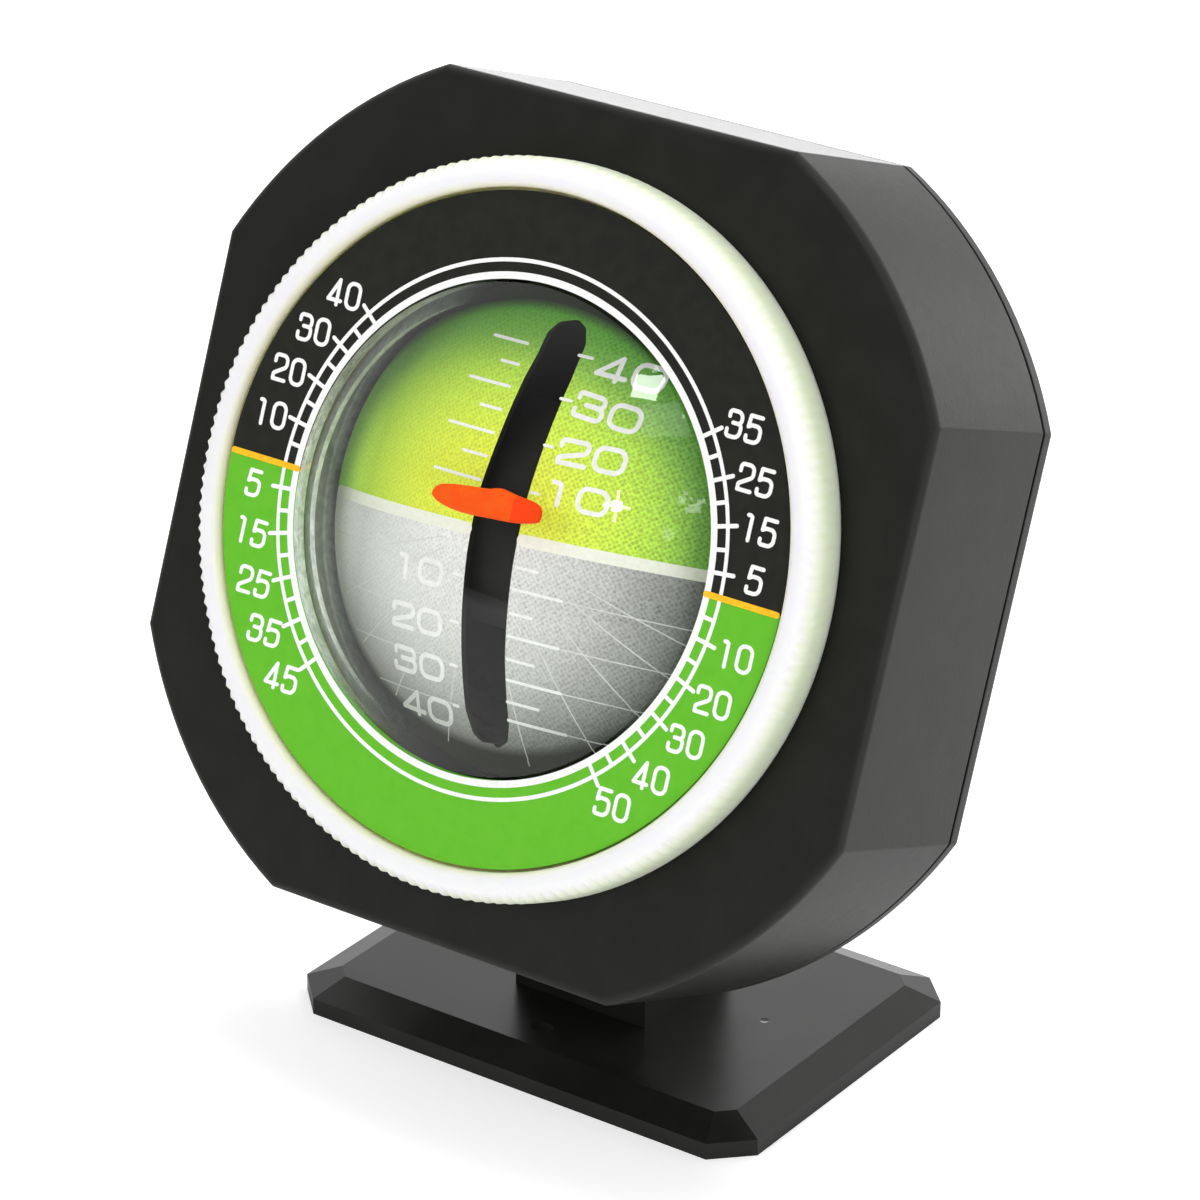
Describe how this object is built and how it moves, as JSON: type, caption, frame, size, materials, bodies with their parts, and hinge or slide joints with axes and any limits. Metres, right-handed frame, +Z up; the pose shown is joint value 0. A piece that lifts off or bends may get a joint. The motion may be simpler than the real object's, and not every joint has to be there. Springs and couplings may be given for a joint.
{
  "type": "dashboard inclinometer",
  "caption": "Dashboard inclinometer: tilting square casing with a luminous knurled ring, a roll dial in a clear capsule and a swinging pitch pointer, on a small sticky foot.",
  "frame": {"origin": "middle of the foot's underside, on the face of the sticky pad", "axes": "+Z up, square to the foot; the dial faces -Y and leans back from it; +X to the right of the dial, parallel to the tilt screw"},
  "size_m": [0.084, 0.0554, 0.0996],
  "materials": {
    "casing_abs": "satin",
    "foam_pad": "matte",
    "zinc_steel": "satin",
    "clear_lens": "gloss",
    "seal_rubber": "matte",
    "capsule_plastic": "satin",
    "brass": "satin",
    "luminous_plastic": "satin",
    "printed_scale": "matte",
    "printed_dial": "satin",
    "frame_plastic": "matte",
    "orange_plastic": "satin"
  },
  "bodies": {
    "stand": {"stand_base": "casing_abs", "adhesive_pad": "foam_pad", "tilt_screw": "zinc_steel", "tilt_washer": "zinc_steel", "tilt_nut": "zinc_steel"},
    "head": {"front_housing": "casing_abs", "rear_cover": "casing_abs", "cover_screw_1": "zinc_steel", "cover_screw_2": "zinc_steel", "cover_screw_3": "zinc_steel", "cover_screw_4": "zinc_steel", "capsule_lens": "clear_lens", "capsule_gasket": "seal_rubber", "capsule_bowl": "capsule_plastic", "capsule_screw_1": "zinc_steel", "capsule_screw_2": "zinc_steel", "capsule_screw_3": "zinc_steel", "capsule_screw_4": "zinc_steel", "filler_plug": "seal_rubber", "roll_bearing": "brass"},
    "scale_ring": {"luminous_ring": "luminous_plastic", "scale_plate": "printed_scale", "ring_retainer": "zinc_steel"},
    "roll_dial": {"dial_cap": "printed_dial", "dial_frame": "frame_plastic", "roll_pin": "zinc_steel", "roll_weight": "brass", "pitch_axle": "zinc_steel"},
    "pitch_pointer": {"pointer_arm": "frame_plastic", "pointer_bar": "orange_plastic", "pitch_weight_left": "brass", "pitch_weight_right": "brass"}
  },
  "joints": [
    {"name": "head_tilt", "type": "hinge", "parent": "stand", "child": "head", "pos_m": [0, 0, 0.0173], "axis": [-1, 0, 0], "range_deg": [-25, 63]},
    {"name": "ring_turn", "type": "hinge", "parent": "head", "child": "scale_ring", "pos_m": [0, -0.02174, 0.06235], "axis": [0, 0.933, -0.36], "continuous": true},
    {"name": "dial_roll", "type": "hinge", "parent": "head", "child": "roll_dial", "pos_m": [0, -0.02174, 0.06235], "axis": [0, 0.933, -0.36], "continuous": true},
    {"name": "pointer_pitch", "type": "hinge", "parent": "roll_dial", "child": "pitch_pointer", "pos_m": [0, -0.00485, 0.05583], "axis": [-0.9997, -0.0094, -0.0244], "range_deg": [-44, 31]}
  ]
}
